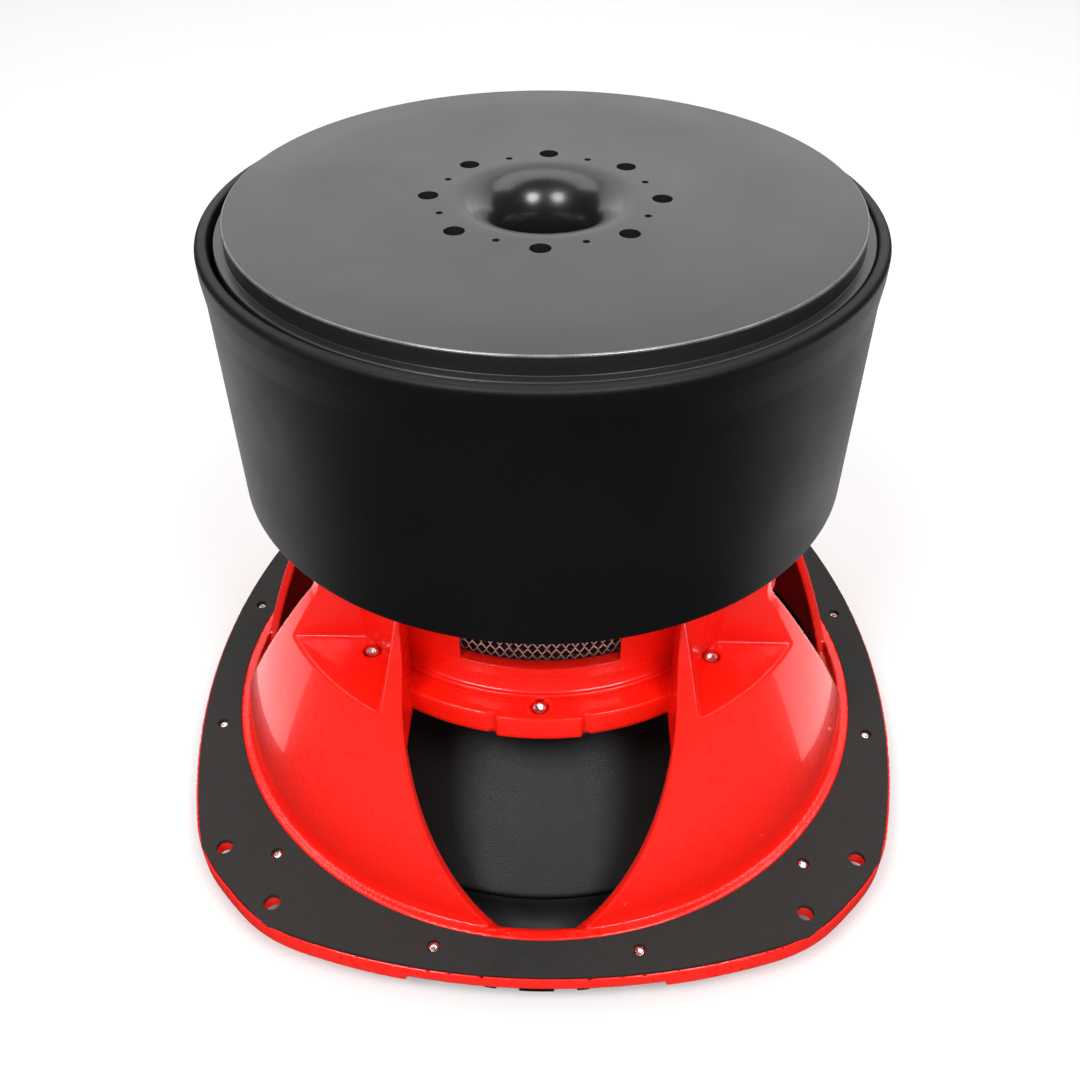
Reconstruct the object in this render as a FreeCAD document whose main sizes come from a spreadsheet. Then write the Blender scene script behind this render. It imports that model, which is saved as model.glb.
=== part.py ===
import FreeCAD, Part
import math
import os
import re
import Sketcher
from FreeCAD import Placement, Rotation, Vector

# Car subwoofer speaker, standing on its face with the motor up. Millimetres.
# Z runs along the motor axis, and the part rests on its front ring at z = 0.
# Most heights are written from "rear", the plane of the gasket's rear face.

doc = FreeCAD.newDocument("car_subwoofer")
sheet = doc.addObject("Spreadsheet::Sheet", "Sizes")

sizes = {
    # flange and gasket: four shallow side arcs joined by corners on one circle
    "rear": 32.0,
    "sideArc": 366.0,
    "cornerReach": 212.4,
    "cornerAngle": 37.0,
    "rimWidth": 1.5,
    "gasketThick": 3.0,
    "gasketInner": 175.0,
    "flangeThick": 6.0,
    "rimDepth": 13.0,
    "rimWall": 3.3,
    "notchHalf": 60.0,
    "notchRise": 3.7,
    "clampCircle": 185.0,
    "mountCircle": 203.1,
    "mountSpread": 6.06,
    "mountHole": 4.0,
    "reliefMiddle": 191.0,
    "reliefHalf": 6.0,
    # front side of the flange: clamp ring, screws and trim
    "clampOuter": 190.4,
    "clampInner": 173.2,
    "clampFace": 14.0,
    "clampThick": 3.0,
    "clampScrew": 1.5,
    "clampBore": 1.6,
    "trimInner": 173.4,
    "trimOuter": 181.0,
    "tabOuter": 183.5,
    "tabThick": 5.0,
    # basket
    "bowlRoot": 170.0,
    "bowlArc": 260.0,
    "bowlWall": 5.0,
    "bowlTopRadius": 124.8,
    "bowlTopHeight": 119.0,
    "armTopRadius": 121.0,
    "armTop": 152.0,
    "armRoot": 4.0,
    "landing": 94.0,
    "landingThick": 13.0,
    "landingOuter": 121.0,
    "padOuter": 122.4,
    "padHalfAngle": 9.2,
    "padNotchAngle": 10.3,
    "drumOuter": 106.0,
    "drumInner": 100.0,
    "topFlangeOuter": 126.0,
    "topFlangeInner": 72.0,
    "topFlangeThick": 12.0,
    "windowHalf": 61.0,
    "windowFoot": 23.3,
    "windowArc": 165.0,
    "windowStraight": 105.0,
    "pocketSide": 72.0,
    "meshHalf": 36.3,
    "meshLow": 111.0,
    "meshHigh": 148.0,
    "spiderCircle": 114.2,
    "spiderRecess": 4.5,
    "spiderOuter": 119.0,
    "spiderThick": 2.0,
    "spiderBore": 2.1,
    "spiderClampOuter": 117.0,
    "spiderClampInner": 108.0,
    "spiderClampThick": 3.5,
    # motor
    "boltCircle": 88.0,
    "plateThick": 18.5,
    "plateOuter": 134.0,
    "plateBore": 55.2,
    "magnetOuter": 136.5,
    "magnetInner": 62.0,
    "magnetThick": 28.0,
    "yokeOuter": 137.1,
    "yokeThick": 12.1,
    "discOuter": 132.8,
    "discThick": 7.7,
    "poleRadius": 50.2,
    "poleNeck": 44.0,
    "poleEnd": 160.0,
    "ventThroat": 18.0,
    "ventFlare": 23.0,
    "frontFlare": 12.0,
    "ventHoleCircle": 49.2,
    "ventHole": 4.35,
    "dimpleCircle": 46.1,
    "bootOuter": 143.0,
    "bootInner": 138.1,
    "bootLip": 143.5,
    "bootTop": 279.0,
    # moving parts
    "coneEdge": 147.5,
    "coneSlope": 0.78,
    "coneWall": 2.8,
    "formerOuter": 51.7,
    "formerWall": 0.8,
    "coilOuter": 54.0,
    "coilLow": 143.0,
    "coilHigh": 203.0,
    "capRadius": 76.0,
    "capRise": 22.0,
    # terminals, set on the landing either side of the rear screw
    "blockAngle": 15.0,
    "blockHalf": 15.0,
    "blockNear": 107.3,
    "blockDepth": 12.5,
    "blockHeight": 16.0,
    "buttonAt": 8.0,
    "wellWide": 9.0,
    "wellDeep": 8.0,
    "buttonProud": 5.0,
    "sideGap": 0.3,
}

for row, (alias, size) in enumerate(sizes.items(), start=1):
    sheet.set("A%d" % row, alias)
    sheet.set("B%d" % row, str(size))
    sheet.setAlias("B%d" % row, alias)
doc.recompute()


def bound(text):
    """Turn bare size names into references to the sheet."""
    def refer(match):
        word = match.group(0)
        return "Sizes." + word if word in sizes else word
    return re.sub(r"[A-Za-z_]\w*", refer, str(text))


def measure(text):
    """Work out an expression in the sheet's sizes."""
    return float(sheet.evalExpression(bound(text)))


def set_size(thing, prop, text):
    thing.setExpression(prop, bound(text))


def new_body(name):
    body = doc.addObject("PartDesign::Body", name)
    body.AllowCompound = True
    return body


def new_sketch(body, name, plane="XY_Plane", height="0"):
    """A sketch on one of the body's own planes, lifted along that plane's normal."""
    sketch = body.newObject("Sketcher::SketchObject", name)
    for datum in body.Origin.OriginFeatures:
        if datum.Role == plane:
            sketch.AttachmentSupport = [(datum, "")]
    sketch.MapMode = "FlatFace"
    set_size(sketch, "AttachmentOffset.Base.z", height)
    return sketch


def pin(sketch, edge, vertex, spot):
    """Fix one vertex of an edge at a place given by two expressions."""
    for kind, text in zip(("DistanceX", "DistanceY"), spot):
        index = sketch.addConstraint(Sketcher.Constraint(kind, -1, 1, edge, vertex, measure(text)))
        sketch.setExpression("Constraints[%d]" % index, bound(text))


def draw_outline(sketch, corners):
    """Draw a closed outline. A corner is (x, y), or (x, y, radius) where the stretch
    after it is an arc: a positive radius has its centre on the left of the travel."""
    count = len(corners)
    ends = []
    for index, corner in enumerate(corners):
        after = corners[(index + 1) % count]
        start = Vector(measure(corner[0]), measure(corner[1]), 0)
        stop = Vector(measure(after[0]), measure(after[1]), 0)
        if len(corner) == 2:
            edge = sketch.addGeometry(Part.LineSegment(start, stop), False)
            ends.append((edge, 1, 2))
            continue
        radius = measure(corner[2])
        chord = stop - start
        left = Vector(-chord.y, chord.x, 0).normalize()
        reach = math.sqrt(radius ** 2 - chord.Length ** 2 / 4)
        centre = (start + stop) * 0.5 + left * math.copysign(reach, radius)
        first, last = (start, stop) if radius > 0 else (stop, start)
        turn = [math.atan2(spot.y - centre.y, spot.x - centre.x) for spot in (first, last)]
        circle = Part.Circle(centre, Vector(0, 0, 1), abs(radius))
        edge = sketch.addGeometry(Part.ArcOfCircle(circle, turn[0], turn[1]), False)
        ends.append((edge, 1, 2) if radius > 0 else (edge, 2, 1))
        index_radius = sketch.addConstraint(Sketcher.Constraint("Radius", edge, abs(radius)))
        sketch.setExpression("Constraints[%d]" % index_radius, bound("abs(%s)" % corner[2]))
    for index, corner in enumerate(corners):
        edge, first, _ = ends[index]
        before, _, last = ends[index - 1]
        sketch.addConstraint(Sketcher.Constraint("Coincident", before, last, edge, first))
        pin(sketch, edge, first, corner)


def draw_circle(sketch, x, y, radius):
    centre = Vector(measure(x), measure(y), 0)
    edge = sketch.addGeometry(Part.Circle(centre, Vector(0, 0, 1), measure(radius)), False)
    index = sketch.addConstraint(Sketcher.Constraint("Radius", edge, measure(radius)))
    sketch.setExpression("Constraints[%d]" % index, bound(radius))
    pin(sketch, edge, 3, (x, y))


def polar(reach, angle):
    return ("(%s) * cos(%s)" % (reach, angle), "(%s) * sin(%s)" % (reach, angle))


def draw_ring_of_circles(sketch, reach, radius, count, first=0.0):
    for step in range(count):
        x, y = polar(reach, first + 360.0 / count * step)
        draw_circle(sketch, x, y, radius)


def draw_flange(sketch, grow):
    """The flange's outline, grown or shrunk by a constant."""
    corners = []
    for quarter in range(4):
        turn = 90 * quarter
        near = polar("cornerReach + %s" % grow, "cornerAngle + %d" % turn)
        far = polar("cornerReach + %s" % grow, "90 - cornerAngle + %d" % turn)
        corners.append(near + ("cornerReach + %s" % grow,))
        corners.append(far + ("sideArc + %s" % grow,))
    draw_outline(sketch, corners)


def draw_mount_circles(sketch):
    """The mounting holes, one pair at each corner of the flange."""
    for quarter in range(4):
        for side in (-1, 1):
            x, y = polar("mountCircle", "%d + %d * mountSpread" % (45 + 90 * quarter, side))
            draw_circle(sketch, x, y, "mountHole")


def draw_box(sketch, x, y, halfX, halfY):
    """A rectangle given by its middle and its half sizes."""
    left, right = "%s - (%s)" % (x, halfX), "%s + (%s)" % (x, halfX)
    low, high = "%s - (%s)" % (y, halfY), "%s + (%s)" % (y, halfY)
    draw_outline(sketch, [(left, low), (right, low), (right, high), (left, high)])


def draw_sector(sketch, inner, outer, middle, half):
    """A piece of a ring between two circles, centred on an angle."""
    low = "%s - (%s)" % (middle, half)
    high = "%s + (%s)" % (middle, half)
    draw_outline(sketch, [
        polar(outer, low) + (outer,),
        polar(outer, high),
        polar(inner, high) + ("-(%s)" % inner,),
        polar(inner, low),
    ])


def revolve(body, name, corners):
    """Turn a half section, given as radius and height, about the Z axis."""
    sketch = new_sketch(body, name + "_section", "XZ_Plane")
    draw_outline(sketch, corners)
    feature = body.newObject("PartDesign::Revolution", name)
    feature.Profile = sketch
    feature.ReferenceAxis = (sketch, ["V_Axis"])
    feature.Angle = 360
    feature.Refine = False
    feature.FuzzyTolerance = 0.0
    return feature


def pad(body, sketch, name, length):
    feature = body.newObject("PartDesign::Pad", name)
    feature.Profile = sketch
    feature.Refine = False
    feature.FuzzyTolerance = 0.0
    set_size(feature, "Length", length)
    return feature


def pocket(body, sketch, name, length=None, up=False, both=False):
    """Cut downwards by default, upwards, or right through both ways."""
    feature = body.newObject("PartDesign::Pocket", name)
    feature.Profile = sketch
    feature.Refine = False
    feature.FuzzyTolerance = 0.0
    feature.Reversed = up
    if both:
        feature.SideType = "Symmetric"
        feature.Type = "ThroughAll"
    else:
        set_size(feature, "Length", length)
    doc.recompute()
    before = feature.BaseFeature.Shape.Volume
    if feature.Shape.Volume > before - 1:
        raise RuntimeError(name + " cuts nothing")
    return feature


def turned(name, corners):
    """A piece that is one turned section."""
    body = new_body(name)
    revolve(body, name + "_turn", corners)
    return body


def ring(name, inner, outer, low, high):
    """A plain ring: a cylinder with a coaxial bore."""
    solids = []
    for suffix, radius in (("_outside", outer), ("_bore", inner)):
        cylinder = doc.addObject("Part::Cylinder", name + suffix)
        set_size(cylinder, "Radius", radius)
        set_size(cylinder, "Height", "(%s) - (%s)" % (high, low))
        set_size(cylinder, "Placement.Base.z", low)
        solids.append(cylinder)
    cut = doc.addObject("Part::Cut", name)
    cut.Base, cut.Tool = solids
    return cut


def drill(body, name, reach, radius, count, top, depth, first=0.0):
    """A ring of round holes cut down from a height."""
    sketch = new_sketch(body, name + "_circles", height=top)
    draw_ring_of_circles(sketch, reach, radius, count, first)
    return pocket(body, sketch, name, depth)


def screws(name, reach, count, top, head, shank, socket, first=0.0, headDown=False):
    """A group of socket screws on one circle. Top is the plane under their heads,
    head and shank are each a radius and a length."""
    headRadius, headHeight = head
    shankRadius, length = shank
    body = new_body(name)
    headBase = "%s - %s" % (top, headHeight) if headDown else top
    shankBase = top if headDown else "%s - %s" % (top, length)
    heads = new_sketch(body, name + "_heads", height=headBase)
    draw_ring_of_circles(heads, reach, headRadius, count, first)
    pad(body, heads, name + "_head", headHeight)
    shanks = new_sketch(body, name + "_shanks", height=shankBase)
    draw_ring_of_circles(shanks, reach, shankRadius, count, first)
    pad(body, shanks, name + "_shank", length)
    mouth = headBase if headDown else "%s + %s" % (top, headHeight)
    sockets = new_sketch(body, name + "_sockets", height=mouth)
    for step in range(count):
        x, y = polar(reach, first + 360.0 / count * step)
        hexagon = []
        for corner in range(6):
            dx, dy = polar(socket, 60 * corner)
            hexagon.append(("%s + %s" % (x, dx), "%s + %s" % (y, dy)))
        draw_outline(sockets, hexagon)
    pocket(body, sockets, name + "_socket", "%s * 0.6" % headHeight, up=headDown)
    return body


parts = {}


def build_flange_parts():
    gasket = new_body("rear_gasket")
    outline = new_sketch(gasket, "gasket_outline", height="rear - gasketThick")
    draw_flange(outline, 0)
    draw_circle(outline, "0", "0", "gasketInner + 0.1")
    draw_ring_of_circles(outline, "clampCircle", "3", 12, 15.0)
    draw_mount_circles(outline)
    pad(gasket, outline, "gasket_pad", "gasketThick")
    parts["rear_gasket"] = gasket

    clamp = new_body("surround_clamp_ring")
    face = new_sketch(clamp, "clamp_face", height="rear - clampFace")
    draw_circle(face, "0", "0", "clampOuter")
    draw_circle(face, "0", "0", "clampInner")
    draw_ring_of_circles(face, "clampCircle", "clampBore", 12, 15.0)
    pad(clamp, face, "clamp_pad", "clampThick")
    parts["surround_clamp_ring"] = clamp

    trim = new_body("front_trim_ring")
    revolve(trim, "trim_turn", [
        ("trimInner", "2"), ("trimInner + 1.5", "0"), ("trimOuter - 1.5", "0"), ("trimOuter", "1.5"),
        ("trimOuter", "rear - clampFace"), ("trimInner", "rear - clampFace"),
    ])
    tabs = new_sketch(trim, "trim_tabs", height="0")
    for quarter in range(4):
        draw_sector(tabs, "trimOuter - 1", "tabOuter", 90 * quarter, "2.6")
        for side in (-1, 1):
            draw_sector(tabs, "trimOuter - 1", "tabOuter", 90 * quarter + side * 7, "0.9")
    pad(trim, tabs, "trim_tab_pad", "tabThick")
    parts["front_trim_ring"] = trim

    parts["surround_screws"] = screws(
        "surround_screws", "clampCircle", 12, "rear - 5.5", head=("2.5", "2.2"),
        shank=("clampScrew", "8.5"), socket="1.3", first=15.0)


def build_basket():
    body = new_body("basket")
    inner = "bowlRoot - bowlWall"
    # bowl shell below the landing, solid arm stock above it
    revolve(body, "bowl", [
        ("gasketInner", "rear"), ("bowlRoot", "rear", "bowlArc"),
        ("bowlTopRadius", "rear + bowlTopHeight"), ("armTopRadius", "rear + armTop + armRoot"),
        ("drumInner + 3", "rear + armTop + armRoot"), ("drumInner + 3", "rear + landing - landingThick"),
        ("141.5", "rear + landing - landingThick", "-(bowlArc - bowlWall)"),
        (inner, "rear"), (inner, "rear - 9"), ("gasketInner", "rear - 9"),
    ])
    # four windows: feet narrow at the flange, sides curving up to straight jambs
    for plane in ("XZ_Plane", "YZ_Plane"):
        sketch = new_sketch(body, "window_" + plane[:2], plane)
        draw_outline(sketch, [
            ("-windowFoot", "rear"), ("windowFoot", "rear", "windowArc"),
            ("windowHalf", "rear + windowStraight"), ("windowHalf", "rear + armTop + armRoot + 1"),
            ("-windowHalf", "rear + armTop + armRoot + 1"),
            ("-windowHalf", "rear + windowStraight", "windowArc"),
        ])
        pocket(body, sketch, "window_cut_" + plane[:2], both=True)
    # open pockets between the ribs of each arm
    pockets = new_sketch(body, "arm_pockets", height="rear + armTop + armRoot + 1")
    for signX, signY in ((1, 1), (-1, 1), (-1, -1), (1, -1)):
        near, far = "%d * pocketSide" % signX, "%d * 150" % signX
        low, high = "%d * pocketSide" % signY, "%d * 150" % signY
        draw_outline(pockets, [(near, low), (far, low), (far, high), (near, high)])
    pocket(body, pockets, "arm_pocket_cut", "armTop + armRoot + 1 - landing")
    # drum, landing ring and top flange
    for name, outer, inside, low, high in (
            ("landing_ring", "landingOuter", "drumInner", "landing - landingThick", "landing"),
            ("drum", "drumOuter", "drumInner", "landing - 1", "armTop + 1"),
            ("top_flange", "topFlangeOuter", "topFlangeInner", "armTop", "armTop + topFlangeThick")):
        face = new_sketch(body, name + "_face", height="rear + " + low)
        draw_circle(face, "0", "0", outer)
        draw_circle(face, "0", "0", inside)
        pad(body, face, name, "%s - (%s)" % (high, low))
    bosses = new_sketch(body, "landing_pads", height="rear + landing - landingThick")
    for quarter in range(4):
        draw_sector(bosses, "landingOuter - 4", "padOuter", 90 * quarter, "padHalfAngle")
    pad(body, bosses, "landing_pad", "landingThick")
    notches = new_sketch(body, "landing_notches", height="rear + landing + 1")
    for quarter in range(4):
        for side in (-1, 1):
            x, y = polar("landingOuter + 0.6", "%d + %d * padNotchAngle" % (90 * quarter, side))
            draw_circle(notches, x, y, "2.3")
    pocket(body, notches, "landing_notch", "landingThick + 2")
    # flange: rim wall, gasket seat on the rear and clamp seat on the front
    plate = new_sketch(body, "flange_outline", height="rear - rimDepth")
    draw_flange(plate, "rimWidth")
    draw_circle(plate, "0", "0", "bowlRoot")
    pad(body, plate, "flange_pad", "rimDepth - 1.5")
    seat = new_sketch(body, "gasket_seat", height="rear")
    draw_flange(seat, 0.1)
    draw_circle(seat, "0", "0", "gasketInner")
    pocket(body, seat, "gasket_seat_cut", "gasketThick")
    under = new_sketch(body, "clamp_seat", height="rear - rimDepth")
    draw_flange(under, "(rimWidth - rimWall)")
    pocket(body, under, "clamp_seat_cut", "rimDepth - gasketThick - flangeThick", up=True)
    relief = new_sketch(body, "rim_relief", height="rear - rimDepth")
    for side in (-1, 1):
        middle = "%d * reliefMiddle" % side
        draw_box(relief, "0", middle, "notchHalf", "reliefHalf")
        draw_box(relief, middle, "0", "reliefHalf", "notchHalf")
    pocket(body, relief, "rim_relief_cut", "notchRise", up=True)
    # holes
    drill(body, "clamp_recess", "clampCircle", "3", 12, "rear - gasketThick", "2.5", 15.0)
    drill(body, "clamp_hole", "clampCircle", "clampBore", 12, "rear - gasketThick", "flangeThick", 15.0)
    mounts = new_sketch(body, "mount_circles", height="rear - gasketThick")
    draw_mount_circles(mounts)
    pocket(body, mounts, "mount_hole", "flangeThick")
    drill(body, "spider_recess", "spiderCircle", "spiderRecess", 8, "rear + landing", "3")
    drill(body, "spider_hole", "spiderCircle", "spiderBore", 8, "rear + landing - 3", "landingThick - 3")
    drill(body, "bolt_hole", "boltCircle", "3.2", 8, "rear + armTop + topFlangeThick", "topFlangeThick", 22.5)
    # drum windows for the mesh panels
    for plane in ("XZ_Plane", "YZ_Plane"):
        sketch = new_sketch(body, "mesh_window_" + plane[:2], plane)
        draw_outline(sketch, [
            ("-meshHalf", "rear + meshLow"), ("meshHalf", "rear + meshLow"),
            ("meshHalf", "rear + meshHigh"), ("-meshHalf", "rear + meshHigh"),
        ])
        pocket(body, sketch, "mesh_window_cut_" + plane[:2], both=True)
    # slots for the leads and pilot holes for the terminal screws, at the rear only
    slots = new_sketch(body, "lead_slots", height="rear + landing + 6.5")
    for side in (-1, 1):
        draw_sector(slots, "drumInner - 3", "drumOuter + 3", "90 + %d * blockAngle" % side, "2.2")
    pocket(body, slots, "lead_slot", "4.5")
    pilots = new_sketch(body, "terminal_pilots", height="rear + landing")
    for side in (-1, 1):
        x, y = polar("blockNear + blockDepth / 2", "90 + %d * blockAngle" % side)
        draw_circle(pilots, x, y, "1.6")
    pocket(body, pilots, "terminal_pilot", "9")
    parts["basket"] = body


def build_landing_parts():
    under = "landingThick + spiderThick + spiderClampThick"
    parts["spider_screws"] = screws(
        "spider_screws", "spiderCircle", 8, "rear + landing - 3", head=("3.4", "2.8"),
        shank=("2", under + " - 3"), socket="1.6")
    clamp = new_body("spider_clamp_ring")
    face = new_sketch(clamp, "spider_clamp_face", height="rear + landing - (%s)" % under)
    draw_circle(face, "0", "0", "spiderClampOuter")
    draw_circle(face, "0", "0", "spiderClampInner")
    draw_ring_of_circles(face, "spiderCircle", "spiderBore", 8)
    pad(clamp, face, "spider_clamp_pad", "spiderClampThick")
    parts["spider_clamp_ring"] = clamp
    for index, quarter in enumerate((270, 180, 90, 0), start=1):
        panel = new_body("vent_mesh_%d" % index)
        outline = new_sketch(panel, "mesh_outline_%d" % index, height="rear + meshLow - 3.5")
        draw_sector(outline, "drumInner - 1.7", "drumInner - 0.3", quarter, "24")
        pad(panel, outline, "mesh_pad_%d" % index, "meshHigh - meshLow + 6")
        parts["vent_mesh_%d" % index] = panel


def build_motor():
    plateLow = "rear + armTop + topFlangeThick"
    plate = new_body("front_plate")
    face = new_sketch(plate, "plate_face", height=plateLow)
    draw_circle(face, "0", "0", "plateOuter")
    draw_circle(face, "0", "0", "plateBore")
    pad(plate, face, "plate_pad", "plateThick")
    tapped = new_sketch(plate, "plate_taps", height=plateLow)
    draw_ring_of_circles(tapped, "boltCircle", "3.1", 8, 22.5)
    pocket(plate, tapped, "plate_tap", "16", up=True)
    parts["front_plate"] = plate
    parts["motor_bolts"] = screws(
        "motor_bolts", "boltCircle", 8, "rear + armTop", head=("5", "6"), shank=("3", "26"),
        socket="2.9", first=22.5, headDown=True)
    for index in range(3):
        name = "magnet_%d" % (index + 1)
        low = plateLow + " + plateThick + %d * magnetThick" % index
        parts[name] = ring(name, "magnetInner", "magnetOuter", low, low + " + magnetThick")
    parts["shorting_ring"] = ring(
        "shorting_ring", "57.5", "magnetInner - 0.1", plateLow + " + plateThick",
        plateLow + " + plateThick + 17")

    yoke = new_body("t_yoke")
    base = plateLow + " + plateThick + 3 * magnetThick"
    step = base + " + yokeThick"
    top = step + " + discThick"
    revolve(yoke, "yoke_turn", [
        ("ventThroat", top + " - ventFlare", "-ventFlare"), ("ventThroat + ventFlare", top),
        ("discOuter - 0.7", top), ("discOuter", top + " - 0.7"), ("discOuter", step),
        ("yokeOuter - 0.6", step), ("yokeOuter", step + " - 0.6"), ("yokeOuter", base),
        ("poleNeck", base), ("poleNeck", "rear + 228"), ("poleRadius", "rear + 222"),
        ("poleRadius", "rear + poleEnd"),
        ("ventThroat + frontFlare", "rear + poleEnd", "-frontFlare"),
        ("ventThroat", "rear + poleEnd + frontFlare"),
    ])
    drill(yoke, "vent_hole", "ventHoleCircle", "ventHole", 8, top, "yokeThick + discThick", 0.0)
    drill(yoke, "tooling_hole", "dimpleCircle", "1.5", 8, top, "10", 22.5)
    parts["t_yoke"] = yoke

    parts["magnet_boot"] = turned("magnet_boot", [
        ("128", "rear + armTop + 10"), ("bootOuter - 1.5", "rear + armTop + 10", "1.5"),
        ("bootOuter", "rear + armTop + 11.5"), ("bootOuter", "rear + bootTop - 16"),
        ("bootLip", "rear + bootTop - 12"), ("bootLip", "rear + bootTop - 5.6", "6"),
        ("139.4", "rear + bootTop"), ("138.3", "rear + bootTop - 1.6"),
        ("bootInner", "rear + armTop + 11.8"), ("128", "rear + armTop + 11.8"),
    ])


def build_moving_parts():
    def cone_rear(radius):
        return "rear - 7.5 + coneSlope * (coneEdge - (%s))" % radius

    def cone_front(radius):
        return cone_rear(radius) + " - coneWall"

    neck = "formerOuter + 0.1"
    parts["cone"] = turned("cone", [
        ("coneEdge", cone_rear("coneEdge")), (neck, cone_rear(neck)),
        (neck, cone_front(neck)), ("coneEdge", cone_front("coneEdge")),
    ])
    rim = cone_front("capRadius") + " - 0.2"
    curve = "(capRadius * capRadius + capRise * capRise) / (2 * capRise)"
    parts["dust_cap"] = turned("dust_cap", [
        ("0", rim + " - capRise", curve), ("capRadius", rim + " - 1.6"),
        ("capRadius", rim, "-(%s)" % curve), ("0", rim + " - capRise + 1.6"),
    ])
    parts["voice_coil_former"] = ring(
        "voice_coil_former", "formerOuter - formerWall", "formerOuter", "rear + 62", "rear + coilHigh")
    parts["voice_coil_winding"] = ring(
        "voice_coil_winding", "formerOuter + 0.05", "coilOuter", "rear + coilLow", "rear + coilHigh")

    # soft suspension: one half roll at the front, one flat cloth disc at the landing
    surround = new_body("surround")
    rollIn, rollMid, rollOut = "145.4", "159", "172.6"
    revolve(surround, "surround_turn", [
        ("clampOuter", "rear - 11"), (rollOut, "rear - 11"), (rollOut, "rear - 17", "-13.6"),
        (rollMid, "rear - 30.6", "-13.6"), (rollIn, "rear - 17"), (rollIn, "rear - 11.8"),
        ("138", "rear - 6"), ("138", "rear - 3.9"), ("147", "rear - 10.9"),
        ("147", "rear - 17", "12"), (rollMid, "rear - 29", "12"), ("171", "rear - 17"),
        ("171", "rear - 9"), ("clampOuter", "rear - 9"),
    ])
    drill(surround, "surround_hole", "clampCircle", "clampBore", 12, "rear - 8", "4", 15.0)
    parts["surround"] = surround
    spider = new_body("spider")
    face = new_sketch(spider, "spider_face", height="rear + landing - landingThick - spiderThick")
    draw_circle(face, "0", "0", "spiderOuter")
    draw_circle(face, "0", "0", "formerOuter + 0.4")
    draw_ring_of_circles(face, "spiderCircle", "spiderBore", 8)
    pad(spider, face, "spider_pad", "spiderThick")
    parts["spider"] = spider


def build_terminals():
    """Each block and what it holds is drawn on the rear centre line and turned into place."""
    base = "rear + landing"
    top = base + " + blockHeight"
    middle = "(blockNear + blockDepth / 2)"
    floor = base + " + 3"
    holeHeight = base + " + 9"
    contacts = []
    fixings = []
    leads = []
    for side in (1, -1):
        number = 1 if side == 1 else 2
        turn = Placement(Vector(), Rotation(Vector(0, 0, 1), side * measure("blockAngle")))

        block = new_body("terminal_block_%d" % number)
        outline = new_sketch(block, "block_outline_%d" % number, height=base)
        draw_box(outline, "0", middle, "blockHalf", "blockDepth / 2")
        pad(block, outline, "block_pad_%d" % number, "blockHeight")
        wells = new_sketch(block, "block_wells_%d" % number, height=top)
        for sign in (-1, 1):
            draw_box(wells, "%d * buttonAt" % sign, middle, "wellWide / 2", "wellDeep / 2")
        pocket(block, wells, "block_well_%d" % number, "blockHeight - 3")
        fixing = new_sketch(block, "block_fixing_%d" % number, height=top)
        draw_circle(fixing, "0", middle, "1.6")
        pocket(block, fixing, "block_fixing_hole_%d" % number, "blockHeight")
        wire = new_sketch(
            block, "block_wires_%d" % number, "XZ_Plane", "-(blockNear + blockDepth + 1)")
        for sign in (-1, 1):
            draw_circle(wire, "%d * buttonAt" % sign, holeHeight, "2")
        pocket(block, wire, "block_wire_hole_%d" % number, "6", up=True)
        block.Placement = turn
        parts["terminal_block_%d" % number] = block

        for sign in (-1, 1):
            serial = number * 2 - (1 if sign == -1 else 0)
            button = new_body("terminal_button_%d" % serial)
            face = new_sketch(button, "button_face_%d" % serial, height=floor + " + 5")
            draw_box(face, "%d * buttonAt" % sign, middle, "wellWide / 2 - sideGap", "wellDeep / 2 - sideGap")
            pad(button, face, "button_pad_%d" % serial, "blockHeight - 8 + buttonProud")
            cross = new_sketch(button, "button_cross_%d" % serial, "XZ_Plane")
            draw_circle(cross, "%d * buttonAt" % sign, holeHeight + " + 3.5", "2")
            pocket(button, cross, "button_wire_hole_%d" % serial, both=True)
            button.Placement = turn
            parts["terminal_button_%d" % serial] = button

            spring = ring("terminal_spring_%d" % serial, "1.8", "2.6", floor + " + 0.9", floor + " + 4.9")
            spot = turn.multVec(Vector(sign * measure("buttonAt"), measure(middle), 0))
            spring.Placement = Placement(spot, Rotation())
            parts["terminal_spring_%d" % serial] = spring

            strip = doc.addObject("Part::Box", "contact_%d" % serial)
            set_size(strip, "Length", "wellWide - 2 * sideGap")
            set_size(strip, "Width", "wellDeep - 2 * sideGap")
            strip.Height = 0.8
            near = Vector(sign * measure("buttonAt") - measure("wellWide / 2 - sideGap"),
                          measure(middle) - measure("wellDeep / 2 - sideGap"), measure(floor))
            strip.Placement = turn.multiply(Placement(near, Rotation()))
            contacts.append(strip)

            lead = doc.addObject("Part::Box", "lead_%d" % serial)
            lead.Length = 2.2
            set_size(lead, "Width", "blockNear - coilOuter")
            lead.Height = 1.2
            corner = Vector(sign * 1.7 - 1.1, measure("coilOuter"), measure(base) + 3.6)
            lead.Placement = turn.multiply(Placement(corner, Rotation()))
            leads.append(lead)

        steps = (("shank", "1.5", base + " - 8", "8 + blockHeight"), ("head", "2.9", top, "1.8"))
        for suffix, radius, low, height in steps:
            fixing = doc.addObject("Part::Cylinder", "fixing_%s_%d" % (suffix, number))
            set_size(fixing, "Radius", radius)
            set_size(fixing, "Height", height)
            spot = turn.multVec(Vector(0, measure(middle), measure(low)))
            fixing.Placement = Placement(spot, Rotation())
            fixings.append(fixing)

    groups = {"terminal_contacts": contacts, "terminal_screws": fixings, "tinsel_leads": leads}
    for name, pieces in groups.items():
        group = doc.addObject("Part::MultiFuse", name)
        group.Shapes = pieces
        parts[name] = group


build_basket()
build_flange_parts()
build_landing_parts()
build_motor()
build_moving_parts()
build_terminals()
doc.recompute()

for thing in doc.Objects:
    if "Invalid" in thing.State or "Error" in thing.State:
        raise RuntimeError("%s failed: %s" % (thing.Label, thing.State))

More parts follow.
